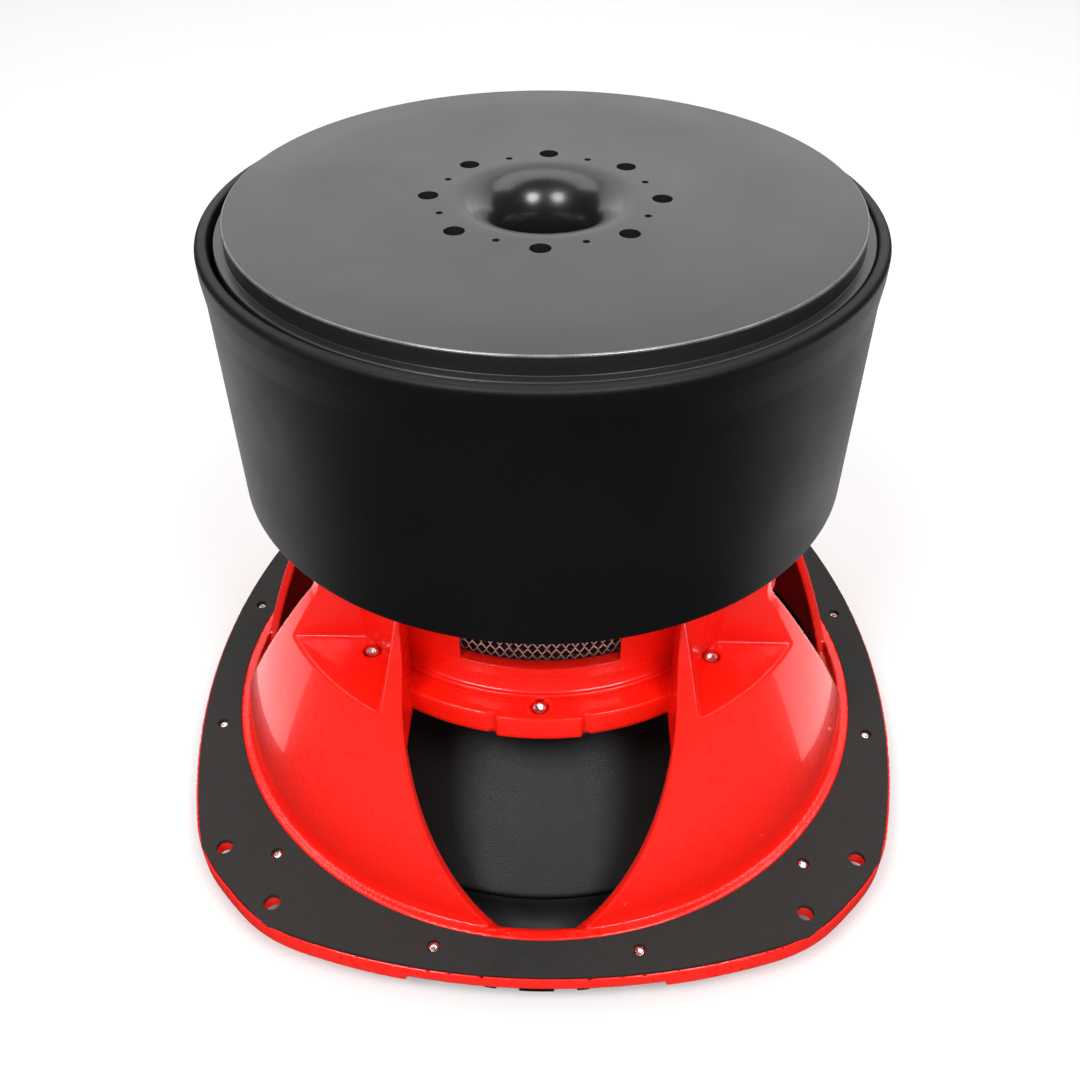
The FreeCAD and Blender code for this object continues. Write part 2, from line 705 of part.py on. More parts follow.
os.makedirs("parts", exist_ok=True)
for node, thing in parts.items():
    thing.Label = node
    shape = thing.Shape
    if shape.isNull() or not shape.isValid():
        raise RuntimeError(node + " has no valid shape")
    shape.exportStep("parts/%s.step" % node)
    box = shape.BoundBox
    print("%-22s %2d solids %10.0f mm3  z %.1f to %.1f" % (
        node, len(shape.Solids), shape.Volume, box.ZMin, box.ZMax))
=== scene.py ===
import itertools
import math
import random
import bmesh
import bpy
import numpy as np
from mathutils import Matrix, Vector


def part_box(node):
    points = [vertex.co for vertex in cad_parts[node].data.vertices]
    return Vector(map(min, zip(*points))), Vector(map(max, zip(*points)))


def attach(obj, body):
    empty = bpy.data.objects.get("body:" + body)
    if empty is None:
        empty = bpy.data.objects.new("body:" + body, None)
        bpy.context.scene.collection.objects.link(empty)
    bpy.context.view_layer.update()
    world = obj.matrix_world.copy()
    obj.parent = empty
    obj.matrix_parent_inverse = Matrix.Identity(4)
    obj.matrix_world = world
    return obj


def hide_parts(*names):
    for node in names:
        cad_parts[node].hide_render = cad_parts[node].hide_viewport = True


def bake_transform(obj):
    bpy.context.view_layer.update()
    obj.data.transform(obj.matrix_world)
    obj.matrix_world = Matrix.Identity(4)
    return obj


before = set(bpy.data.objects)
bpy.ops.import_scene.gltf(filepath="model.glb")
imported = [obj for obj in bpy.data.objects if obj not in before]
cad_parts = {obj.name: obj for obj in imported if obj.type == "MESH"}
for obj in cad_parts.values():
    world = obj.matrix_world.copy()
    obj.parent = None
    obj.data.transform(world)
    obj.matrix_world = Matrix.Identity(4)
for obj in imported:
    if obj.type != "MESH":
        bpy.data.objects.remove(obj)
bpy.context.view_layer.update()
print("frame loaded,", len(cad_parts), "nodes")

mm = 0.001
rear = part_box("rear_gasket")[1].z / mm   # rear face of the gasket, the height most sizes count from


class Signal:
    # one output socket that takes part in ordinary arithmetic
    def __init__(self, paint, socket):
        self.paint = paint
        self.socket = socket

    def math(self, operation, first, second):
        return self.paint.node("ShaderNodeMath", {"operation": operation}, {0: first, 1: second})

    def __add__(self, other):
        return self.math("ADD", self, other)

    __radd__ = __add__

    def __sub__(self, other):
        return self.math("SUBTRACT", self, other)

    def __rsub__(self, other):
        return self.math("SUBTRACT", other, self)

    def __mul__(self, other):
        return self.math("MULTIPLY", self, other)

    __rmul__ = __mul__


class Paint:
    # one material: a Principled shader with its constants, and nodes added in front of it
    def __init__(self, name, **constants):
        self.material = bpy.data.materials.new(name)
        self.material.use_nodes = True
        self.tree = self.material.node_tree
        self.shader = self.tree.nodes["Principled BSDF"]
        for socket, value in constants.items():
            self.shader.inputs[socket.replace("_", " ")].default_value = value

    def node(self, kind, settings=None, links=None, out=0):
        made = self.tree.nodes.new(kind)
        for key, value in (settings or {}).items():
            if key == "stops":
                while len(made.color_ramp.elements) < len(value):
                    made.color_ramp.elements.new(0.5)
                for element, (position, colour) in zip(made.color_ramp.elements, value):
                    element.position = position
                    element.color = colour if len(colour) == 4 else (*colour, 1)
            else:
                setattr(made, key, value)
        for key, value in (links or {}).items():
            if isinstance(value, Signal):
                self.tree.links.new(value.socket, made.inputs[key])
            else:
                made.inputs[key].default_value = value
        return Signal(self, made.outputs[out])

    def place(self):
        return self.node("ShaderNodeTexCoord", out="Object")

    def noise(self, scale, detail=3.0, roughness=0.5, where=None):
        return self.node("ShaderNodeTexNoise", None, {
            "Vector": where or self.place(), "Scale": scale, "Detail": detail, "Roughness": roughness})

    def cells(self, scale, feature="F1", where=None, out="Distance"):
        return self.node("ShaderNodeTexVoronoi", {"feature": feature},
                         {"Vector": where or self.place(), "Scale": scale}, out)

    def ramp(self, value, stops):
        return self.node("ShaderNodeValToRGB", {"stops": stops}, {"Fac": value})

    def span(self, value, fromLow, fromHigh, toLow, toHigh):
        return self.node("ShaderNodeMapRange", None, {
            "Value": value, "From Min": fromLow, "From Max": fromHigh, "To Min": toLow, "To Max": toHigh})

    def blend(self, factor, first, second):
        return self.node("ShaderNodeMix", {"data_type": "RGBA"}, {0: factor, 6: first, 7: second}, out=2)

    def bump(self, height, strength, distance):
        return self.node("ShaderNodeBump", None, {
            "Height": height, "Strength": strength, "Distance": distance})

    def feed(self, socket, signal):
        self.tree.links.new(signal.socket, self.shader.inputs[socket])


def grey(level):
    return (level, level, level, 1)


def redEnamel():
    paint = Paint("redEnamel", Coat_Weight=0.5, Coat_Roughness=0.04, Specular_IOR_Level=0.3)
    paint.feed("Base Color", paint.blend(paint.noise(9, 2), (0.9, 0.008, 0.002, 1), (0.93, 0.011, 0.004, 1)))
    paint.feed("Roughness", paint.span(paint.noise(160, 3), 0.3, 0.7, 0.26, 0.32))
    peel = paint.noise(420, 2) + paint.noise(55, 2) * 1.2
    paint.feed("Normal", paint.bump(peel, 0.015, 0.0002))
    return paint.material


def blackSteel():
    paint = Paint("blackSteel", Specular_IOR_Level=0.5, Coat_Weight=0.25, Coat_Roughness=0.2)
    haze = paint.noise(14, 5, 0.6)
    specks = paint.ramp(paint.cells(140), [(0.0, (1, 1, 1)), (0.035, (0, 0, 0))])
    picked = paint.ramp(paint.noise(33, 2), [(0.62, (0, 0, 0)), (0.68, (1, 1, 1))])
    stretched = paint.node("ShaderNodeMapping", None, {
        "Vector": paint.place(), "Scale": (1, 16, 1), "Rotation": (0, 0, 0.6)})
    lines = paint.ramp(paint.noise(38, 6, 0.7, stretched), [(0.69, (0, 0, 0)), (0.73, (1, 1, 1))])
    marks = specks * picked
    marked = marks * 0.8 + lines * 0.06
    paint.feed("Base Color", paint.blend(marked, (0.014, 0.0145, 0.0145, 1), (0.42, 0.42, 0.41, 1)))
    paint.feed("Roughness", paint.span(haze, 0.3, 0.7, 0.34, 0.44) + lines * 0.1)
    paint.feed("Normal", paint.bump(paint.noise(900, 2) * 0.4 - marks * 0.6, 0.12, 0.0003))
    return paint.material


def ventGloss():
    paint = Paint("ventGloss", Specular_IOR_Level=0.5, Coat_Weight=0.3, Coat_Roughness=0.16)
    paint.feed("Base Color", paint.blend(paint.noise(60), (0.006, 0.006, 0.006, 1), (0.012, 0.012, 0.012, 1)))
    paint.feed("Roughness", paint.span(paint.noise(45, 4), 0.3, 0.7, 0.25, 0.31))
    paint.feed("Normal", paint.bump(paint.noise(300, 2), 0.05, 0.0003))
    return paint.material


def bootRubber():
    paint = Paint("bootRubber", Specular_IOR_Level=0.3)
    cloud = paint.noise(17, 4, 0.6)
    dust = paint.ramp(paint.noise(240, 3, 0.7), [(0.66, (0, 0, 0)), (0.78, (1, 1, 1))])
    worn = cloud * 0.6 + dust * 0.25
    paint.feed("Base Color", paint.blend(worn, (0.0024, 0.0027, 0.0029, 1), (0.005, 0.0056, 0.006, 1)))
    paint.feed("Roughness", paint.span(cloud, 0.3, 0.7, 0.47, 0.57))
    paint.feed("Normal", paint.bump(paint.noise(1300, 2) + paint.noise(90, 3) * 0.8, 0.16, 0.0003))
    return paint.material


def gasketFoam():
    paint = Paint("gasketFoam", Specular_IOR_Level=0.25)
    pores = paint.cells(1500)
    cloud = paint.noise(30, 4, 0.6)
    pitted = cloud * 0.6 + pores * 0.5
    paint.feed("Base Color", paint.blend(pitted, (0.015, 0.015, 0.0143, 1), (0.037, 0.037, 0.035, 1)))
    paint.feed("Roughness", paint.span(cloud, 0.3, 0.7, 0.85, 0.97))
    paint.feed("Normal", paint.bump(pores + paint.noise(260, 3), 0.35, 0.0005))
    return paint.material


def coneSkin():
    paint = Paint("coneSkin", Specular_IOR_Level=0.45)
    grain = paint.cells(760, "DISTANCE_TO_EDGE")
    folds = paint.ramp(grain, [(0.0, (0, 0, 0)), (0.12, (1, 1, 1))])
    cloud = paint.noise(25, 5, 0.65)
    paint.feed("Base Color", paint.blend(cloud, (0.005, 0.0055, 0.0055, 1), (0.011, 0.0118, 0.0118, 1)))
    paint.feed("Roughness", paint.span(cloud, 0.3, 0.7, 0.45, 0.56))
    paint.feed("Normal", paint.bump(folds + paint.noise(900, 2) * 0.5, 0.28, 0.0003))
    return paint.material


def speckled(name, dark, light, roughness, scale, grain, depth, **constants):
    # a plain finish: two shades, a roughness that wanders, and a fine grain
    paint = Paint(name, **constants)
    cloud = paint.noise(scale, 4, 0.6)
    paint.feed("Base Color", paint.blend(cloud, (*dark, 1), (*light, 1)))
    paint.feed("Roughness", paint.span(cloud, 0.3, 0.7, roughness * 0.85, roughness * 1.15))
    paint.feed("Normal", paint.bump(paint.noise(grain, 3), 0.2, depth))
    return paint.material


def spiderCloth():
    paint = Paint("spiderCloth", Specular_IOR_Level=0.3, Sheen_Weight=0.2)
    place = paint.place()
    bars = []
    for direction in ("X", "Y"):
        bars.append(paint.node("ShaderNodeTexWave", {"wave_type": "BANDS", "bands_direction": direction},
                               {"Vector": place, "Scale": 320.0, "Distortion": 0.6}))
    weave = bars[0] * bars[1]
    paint.feed("Base Color", paint.blend(weave, (0.16, 0.12, 0.05, 1), (0.42, 0.33, 0.17, 1)))
    paint.feed("Roughness", paint.span(weave, 0, 1, 0.75, 0.9))
    paint.feed("Normal", paint.bump(weave, 0.5, 0.0004))
    return paint.material


# dark and light shade, roughness, scale of the clouds, scale and depth of the grain, constants
plainFinishes = {
    "zinc": ((0.7, 0.7, 0.69), (0.92, 0.92, 0.91), 0.22, 220, 900, 0.0002, {"Metallic": 1.0}),
    "chrome": ((0.72, 0.72, 0.73), (0.92, 0.92, 0.93), 0.24, 90, 500, 0.0002, {"Metallic": 0.55}),
    # painted highlight: a light grey finish for the disc's rim edge, standing in for the bright line that
    # edge reflects
    "wornEdge": ((0.1, 0.1, 0.1), (0.42, 0.42, 0.41), 0.3, 120, 700, 0.0002, {"Metallic": 0.7}),
    "alloy": ((0.6, 0.6, 0.61), (0.8, 0.8, 0.81), 0.3, 60, 700, 0.0002, {"Metallic": 1.0}),
    "brass": ((0.55, 0.38, 0.13), (0.75, 0.55, 0.22), 0.28, 90, 700, 0.0002, {"Metallic": 1.0}),
    "copper": ((0.42, 0.13, 0.05), (0.62, 0.24, 0.1), 0.3, 90, 700, 0.0002, {"Metallic": 1.0}),
    "ferrite": ((0.03, 0.03, 0.032), (0.07, 0.07, 0.072), 0.6, 40, 1200, 0.0004, {}),
    "foamRubber": ((0.008, 0.008, 0.0085), (0.018, 0.018, 0.019), 0.62, 40, 1500, 0.0004, {}),
    "blackPlastic": ((0.012, 0.012, 0.012), (0.022, 0.022, 0.022), 0.42, 60, 1400, 0.0003, {}),
    "redPlastic": ((0.45, 0.012, 0.01), (0.6, 0.02, 0.015), 0.34, 60, 1400, 0.0002, {}),
    "braid": ((0.4, 0.26, 0.15), (0.7, 0.52, 0.33), 0.35, 1500, 3500, 0.0006, {"Metallic": 0.8}),
}
finishes = {make.__name__: make() for make in (
    redEnamel, blackSteel, ventGloss, bootRubber, gasketFoam, coneSkin, spiderCloth)}
for name, (dark, light, roughness, scale, grain, depth, constants) in plainFinishes.items():
    finishes[name] = speckled(name, dark, light, roughness, scale, grain, depth, **constants)
print("finishes made")


# mesh tools: all sizes below are in millimetres
def newPiece(name, points, faces, finish, normals=None):
    mesh = bpy.data.meshes.new(name)
    mesh.from_pydata([tuple(point) for point in np.asarray(points) * mm], [], faces)
    mesh.polygons.foreach_set("use_smooth", [True] * len(mesh.polygons))
    mesh.update()
    if normals is not None:
        mesh.normals_split_custom_set_from_vertices([tuple(normal) for normal in normals])
    piece = bpy.data.objects.new(name, mesh)
    bpy.context.scene.collection.objects.link(piece)
    mesh.materials.append(finishes[finish])
    return piece


def seat(piece, body, slot, *nodes):
    # the piece moves with its body and stands for CAD nodes
    if body:
        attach(piece, body)
    if nodes:
        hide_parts(*nodes)
    return piece


def applyAll(piece):
    graph = bpy.context.evaluated_depsgraph_get()
    mesh = bpy.data.meshes.new_from_object(piece.evaluated_get(graph))
    piece.modifiers.clear()
    piece.data = mesh
    return piece


def roundedProfile(corners, steps=6):
    # corners are (radius, height, fillet): each fillet becomes an arc with a holding point either side
    points = []
    count = len(corners)
    for index, (x, y, fillet) in enumerate(corners):
        here = Vector((x, y))
        if fillet <= 0:
            points.append(here)
            continue
        before = (Vector(corners[index - 1][:2]) - here)
        after = (Vector(corners[(index + 1) % count][:2]) - here)
        half = before.angle(after) / 2
        reach = min(fillet / math.tan(half), before.length * 0.49, after.length * 0.49)
        fillet = reach * math.tan(half)
        a, b = before.normalized(), after.normalized()
        centre = here + (a + b).normalized() * (fillet / math.sin(half))
        start, stop = here + a * reach - centre, here + b * reach - centre
        turn = start.angle_signed(stop)
        points.append(here + a * reach * 1.12)
        for step in range(steps + 1):
            angle = -turn * step / steps
            points.append(centre + Matrix.Rotation(angle, 2) @ start)
        points.append(here + b * reach * 1.12)
    return points


def lathe(name, profile, finish, closed=True, segments=192, low=0.0, high=360.0):
    # turn a profile of (radius, height above the rear plane) about Z
    whole = high - low >= 360
    rings = segments if whole else segments + 1
    points, faces = [], []
    for step in range(rings):
        angle = math.radians(low + (high - low) * step / segments)
        points += [(r * math.cos(angle), r * math.sin(angle), rear + z) for r, z in profile]
    count = len(profile)
    for step in range(segments):
        here, there = step * count, (step + 1) % rings * count
        for k in range(count if closed else count - 1):
            k2 = (k + 1) % count
            faces.append((here + k, there + k, there + k2, here + k2))
    if not whole and closed:
        faces.append(tuple(range(count))[::-1])
        faces.append(tuple(range((rings - 1) * count, rings * count)))
    piece = newPiece(name, points, faces, finish)
    tool = bmesh.new()
    tool.from_mesh(piece.data)
    bmesh.ops.remove_doubles(tool, verts=tool.verts, dist=1e-6)
    bmesh.ops.recalc_face_normals(tool, faces=tool.faces)
    tool.to_mesh(piece.data)
    tool.free()
    piece.data.polygons.foreach_set("use_smooth", [True] * len(piece.data.polygons))
    return piece


def softened(name, node, finish, width, angle=35, segments=3):
    # a copy of a CAD node whose sharp edges are rounded off
    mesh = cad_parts[node].data.copy()
    mesh.name = name
    mesh.materials.clear()
    mesh.materials.append(finishes[finish])
    piece = bpy.data.objects.new(name, mesh)
    bpy.context.scene.collection.objects.link(piece)
    tool = bmesh.new()
    tool.from_mesh(mesh)
    bmesh.ops.remove_doubles(tool, verts=tool.verts, dist=2e-6)
    bmesh.ops.dissolve_limit(tool, angle_limit=math.radians(0.5), verts=tool.verts, edges=tool.edges)
    for face in tool.faces:
        face.smooth = True
        face.material_index = 0
    for edge in tool.edges:
        edge.smooth = True
    tool.to_mesh(mesh)
    tool.free()
    if mesh.has_custom_normals:
        mesh.normals_split_custom_set([(0, 0, 0)] * len(mesh.loops))
    bevel = piece.modifiers.new("edges", "BEVEL")
    bevel.width = width * mm
    bevel.segments = segments
    bevel.limit_method = "ANGLE"
    bevel.angle_limit = math.radians(angle)
    bevel.harden_normals = False
    weighted = piece.modifiers.new("shading", "WEIGHTED_NORMAL")
    weighted.keep_sharp = True
    return applyAll(piece)


basketSizes = {
    "grid": 1.25,         # spacing of the sampled points
    "edge": 1.0,          # softness of cast corners
    "arc": 260.0, "arcCentre": (-88.3, -30.0), "wall": 5.0,
    "ribFoot": (124.8, 119.0), "ribTop": (121.0, 156.0),
    "windowArc": 165.0, "windowCentre": (-104.0, 105.0),
    "pocket": 71.5, "pocketDraft": 0.19, "pocketEnd": 110.5, "landing": 94.0, "landingLow": 81.0,
    "ringOuter": 121.0, "padRise": 1.3, "padAngle": 9.6, "notchAngle": 10.3,
    "drum": (100.0, 106.0), "foot": (108.8, 96.4), "mesh": (36.3, 109.5, 148.0),
    "topFlange": (72.0, 126.0, 152.0, 164.0),
    "sideArc": 366.0, "sideCentre": 173.32, "corner": 212.4, "rim": 1.5, "rimWall": 3.3,
    "lip": (170.0, 175.0), "screwCircle": 185.0, "spiderCircle": 114.2,
    "mountCircle": 203.1, "mountAngle": 38.94,
}


def lesser(a, b, soft):
    # the smaller of two distances, with a fillet where they meet
    share = np.clip(1 - np.abs(a - b) / soft, 0, None)
    return np.minimum(a, b) - soft * share * share / 4


def greater(a, b, soft):
    return -lesser(-a, -b, soft)


def flangeOutline(long, short, reach, grow, size):
    side = np.hypot(short, long + size["sideCentre"]) - size["sideArc"] - grow
    return greater(side, reach - size["corner"] - grow, 5.0)


def basketField(x, y, z):
    # distance to the casting's surface, negative inside; z counts from the rear plane
    size = basketSizes
    edge = size["edge"]
    long, short = np.maximum(abs(x), abs(y)), np.minimum(abs(x), abs(y))
    reach = np.hypot(x, y)
    # bowl, and the solid arms that stand on it
    centreR, centreZ = size["arcCentre"]
    sphere = np.hypot(reach - centreR, z - centreZ)
    footR, footZ = size["ribFoot"]
    topR, topZ = size["ribTop"]
    slope = math.hypot(topR - footR, topZ - footZ)
    straight = ((reach - footR) * (topZ - footZ) - (z - footZ) * (topR - footR)) / slope
    outer = lesser(sphere - size["arc"], np.maximum(straight, 112 - z), 2)
    skin = np.maximum(sphere - size["arc"], size["arc"] - size["wall"] - sphere)
    shell = np.maximum(skin, np.maximum(z - 88, -8 - z))
    arm = np.maximum(np.maximum(outer, size["landingLow"] - z), np.maximum(103 - reach, z - 156))
    body = np.minimum(shell, arm)
    # windows, and arm pockets whose side walls lean
    windowX, windowZ = size["windowCentre"]
    window = np.hypot(short - windowX, np.minimum(z - windowZ, 0)) - size["windowArc"]
    body = greater(body, -greater(window, -6 - z, 1), edge)
    draft = size["pocketDraft"]
    wall = (size["pocket"] - draft * (z - size["landing"]) - short) / math.hypot(1, draft)
    pocket = greater(greater(wall, size["landing"] - z, 1.0), size["pocketEnd"] - reach, 1.5)
    body = greater(body, -pocket, edge)
    # landing ring with its pads and notches, drum with its foot and mesh windows, top flange
    around = np.degrees(np.arcsin(np.clip(short / np.maximum(reach, 1), 0, 1)))
    pad = size["padRise"] * np.clip((size["padAngle"] - around) * 2, 0, 1)
    middle = (size["landing"] + size["landingLow"]) / 2
    half = (size["landing"] - size["landingLow"]) / 2
    band = np.maximum(reach - size["ringOuter"] - pad, size["drum"][0] - reach)
    ring = greater(band, abs(z - middle) - half, 0.9)
    notchAt = math.radians(size["notchAngle"])
    notch = np.hypot(long - 122.4 * math.cos(notchAt), short - 122.4 * math.sin(notchAt)) - 2.4
    ring = greater(ring, -notch, 0.6)
    drumIn, drumOut = size["drum"]
    drum = np.maximum(np.maximum(reach - drumOut, drumIn - reach), abs(z - 122) - 34)
    meshHalf, meshLow, meshHigh = size["mesh"]
    level = abs(z - (meshLow + meshHigh) / 2) - (meshHigh - meshLow) / 2
    opening = greater(short - meshHalf, level, 1.2)
    drum = greater(drum, -opening, 0.7)
    flangeIn, flangeOut, flangeLow, flangeHigh = size["topFlange"]
    cap = greater(greater(reach - flangeOut, flangeIn - reach, 1),
                  abs(z - (flangeLow + flangeHigh) / 2) - (flangeHigh - flangeLow) / 2, 1.5)
    body = lesser(np.minimum(np.minimum(body, ring), drum), cap, 4)
    # flange: rim wall, gasket seat, clamp seat, inner lip, reliefs at the sides
    lipIn, lipOut = size["lip"]
    rim = greater(flangeOutline(long, short, reach, size["rim"], size), abs(z + 7.4) - 5.6, 1.6)
    rim = np.maximum(rim, lipIn - reach)
    seatCut = np.maximum(flangeOutline(long, short, reach, 0.15, size), np.maximum(-3 - z, lipOut - reach))
    under = np.maximum(flangeOutline(long, short, reach, size["rim"] - size["rimWall"], size), z + 9)
    rim = greater(greater(rim, -seatCut, 0.6), -under, 1.0)
    relief = greater(greater(short - 60, 186 - long, 1), z + 9.3, 2)
    rim = greater(rim, -relief, 1.5)
    lip = greater(np.maximum(reach - lipOut, lipIn - 0.6 - reach), abs(z + 4.5) - 4.5, 0.9)
    body = lesser(lesser(body, lip, 0.8), rim, 0.8)
    # holes: mounting, spider screws, clamp screws
    for circle, angle, radius, low in (
            (size["mountCircle"], size["mountAngle"], 4.0, -20), (size["spiderCircle"], 0, 4.5, 91),
            (size["spiderCircle"], 45, 4.5, 91), (size["screwCircle"], 15, 2.7, -5.4),
            (size["screwCircle"], 45, 2.7, -5.4)):
        turn = math.radians(angle)
        hole = np.hypot(long - circle * math.cos(turn), short - circle * math.sin(turn)) - radius
        body = greater(body, -np.maximum(hole, low - z), 0.5)
    return body


def fieldSlope(field, points):
    step = 0.02
    slope = np.empty_like(points)
    for axis in range(3):
        shift = np.zeros(3)
        shift[axis] = step
        slope[:, axis] = (field(*(points + shift).T) - field(*(points - shift).T)) / (2 * step)
    return slope


def surfaceOf(field, low, high, step):
    # one point in every grid cell that the surface passes through, joined by quads across the grid's edges
    axes = [np.arange(start, stop, step) for start, stop in zip(low, high)]
    inside = field(*np.meshgrid(*axes, indexing="ij")) < 0
    wide, deep, tall = (count - 1 for count in inside.shape)
    corners = sum(inside[a:wide + a, b:deep + b, c:tall + c].astype(int)
                  for a in (0, 1) for b in (0, 1) for c in (0, 1))
    mixed = (corners > 0) & (corners < 8)
    number = np.full(mixed.shape, -1)
    number[mixed] = np.arange(mixed.sum())
    points = np.argwhere(mixed) * step + np.array(low) + step / 2
    quads = []
    for axis in range(3):
        ahead = np.moveaxis(inside, axis, 0)
        cells = np.moveaxis(number, axis, 0)
        crossed = (ahead[:-1] != ahead[1:])[:, 1:-1, 1:-1]
        i, j, k = np.nonzero(crossed)
        quad = np.stack([cells[i, j, k], cells[i, j + 1, k], cells[i, j + 1, k + 1], cells[i, j, k + 1]], 1)
        flip = ahead[:-1][i, j + 1, k + 1] ^ (axis == 1)
        quad[~flip] = quad[~flip][:, ::-1]
        quads.append(quad)
    for _ in range(5):
        slope = fieldSlope(field, points)
        length = np.maximum((slope ** 2).sum(1), 0.1)
        move = slope * (field(*points.T) / length)[:, None]
        points -= np.clip(move, -step * 0.5, step * 0.5)
    return points, np.concatenate(quads)


def crispened(field, points, step):
    # move each point to where the surfaces round it meet, so that edges stay sharp
    spread = step * 0.45
    squares = np.zeros((len(points), 3, 3))
    pull = np.zeros((len(points), 3))
    for corner in itertools.product((1, -1), repeat=3):
        near = points + np.array(corner) * spread
        for _ in range(2):
            slope = fieldSlope(field, near)
            move = slope * (field(*near.T) / np.maximum((slope ** 2).sum(1), 0.1))[:, None]
            near = near - np.clip(move, -step, step)
        slope = fieldSlope(field, near)
        slope /= np.maximum(np.linalg.norm(slope, axis=1), 1e-6)[:, None]
        squares += slope[:, :, None] * slope[:, None, :]
        pull += slope * ((near - points) * slope).sum(1)[:, None]
    squares += np.eye(3) * 0.15
    shift = np.linalg.solve(squares, pull[:, :, None])[:, :, 0]
    return points + np.clip(shift, -step * 0.7, step * 0.7)


def mirrored(points, quads, axis):
    # the other half across a plane through the origin; points on the plane are shared
    onPlane = abs(points[:, axis]) < 1e-6
    number = np.where(onPlane, np.arange(len(points)), len(points) + np.cumsum(~onPlane) - 1)
    flipped = points[~onPlane].copy()
    flipped[:, axis] *= -1
    return np.concatenate([points, flipped]), np.concatenate([quads, number[quads][:, ::-1]])


def makeBasket():
    step = basketSizes["grid"]
    points, quads = surfaceOf(basketField, (-step / 2, -step / 2, -16.1), (203, 203, 168), step)
    onPlane = abs(points[:, :2]) < 1e-4
    points = crispened(basketField, points, step)
    points[:, :2][onPlane] = 0
    print("basket points:", 4 * len(points))
    for axis in (0, 1):
        points[abs(points[:, axis]) < 1e-4, axis] = 0
        points, quads = mirrored(points, quads, axis)
    normals = fieldSlope(basketField, points)
    normals /= np.linalg.norm(normals, axis=1)[:, None]
    points[:, 2] += rear
    piece = newPiece("basketCasting", points, quads.tolist(), "redEnamel", normals)
    seat(piece, "frame", "red_paint", "basket")
    # the cove and step where the drum meets the landing
    footR, footZ = basketSizes["foot"]
    inner = basketSizes["drum"][0] + 1
    cove = [(footR + 0.4 - 3.2 * math.sin(a), footZ + 7 - 7 * math.cos(a))
            for a in np.radians(np.linspace(0, 88, 12))]
    profile = [(inner, 93), (footR + 1.4, 93), (footR + 1.4, footZ - 1.1), (footR + 1.3, footZ - 0.5),
               (footR + 0.95, footZ - 0.1)] + cove + [(inner, footZ + 7.2)]
    seat(lathe("drumFoot", profile, "redEnamel", segments=256), "frame", "red_paint")


makeBasket()
print("basket made")


yokeSizes = {
    "hole": 4.35, "holeCircle": 49.2, "dimple": 1.5, "dimpleCircle": 46.1, "holeTurn": -0.8,
    "throat": 18.0, "flare": 23.0, "mouth": 12.0, "poleEnd": 160.0, "pole": 50.2, "neck": 44.0,
    "low": 266.5, "plate": (137.1, 278.6), "disc": (132.8, 286.3), "vent": 33.0,
    # the disc's face falls gently from its rim to the vent
    "dish": [(118, 286.3), (112, 286.2), (104, 285.9), (92, 285.4), (80, 284.9), (68, 284.65), (56, 284.6),
             (46, 284.6), (43, 284.6)],
}
bootSizes = {
    "shift": -0.9,        # it sits a little to one side
    "corners": [
        (128, 162, 0.6), (142.8, 162, 2.2), (142.8, 260, 14), (143.7, 271, 10), (143.7, 279.5, 5.2),
        (138.4, 280.0, 1.4), (138.1, 275.5, 0.6), (138.1, 163.8, 0.4), (128, 163.8, 0.5)],
}


def cylinderTool(x, y, low, high, radius, sides=40):
    points = []
    angles = [math.tau * k / sides for k in range(sides)]
    for z in (low, high):
        points += [(x + radius * math.cos(angle), y + radius * math.sin(angle), z) for angle in angles]
    faces = [(k, (k + 1) % sides, (k + 1) % sides + sides, k + sides) for k in range(sides)]
    faces += [tuple(range(sides))[::-1], tuple(range(sides, 2 * sides))]
    return points, faces


def drillHoles(piece, holes):
    points, faces = [], []
    for hole in holes:
        more, sides = cylinderTool(*hole)
        faces += [tuple(len(points) + k for k in face) for face in sides]
        points += more
    tool = newPiece(piece.name + "Drill", points, faces, "blackSteel")
    cut = piece.modifiers.new("holes", "BOOLEAN")
    cut.operation = "DIFFERENCE"
    cut.solver = "EXACT"
    cut.object = tool
    applyAll(piece)
    bpy.data.objects.remove(tool)
    return piece


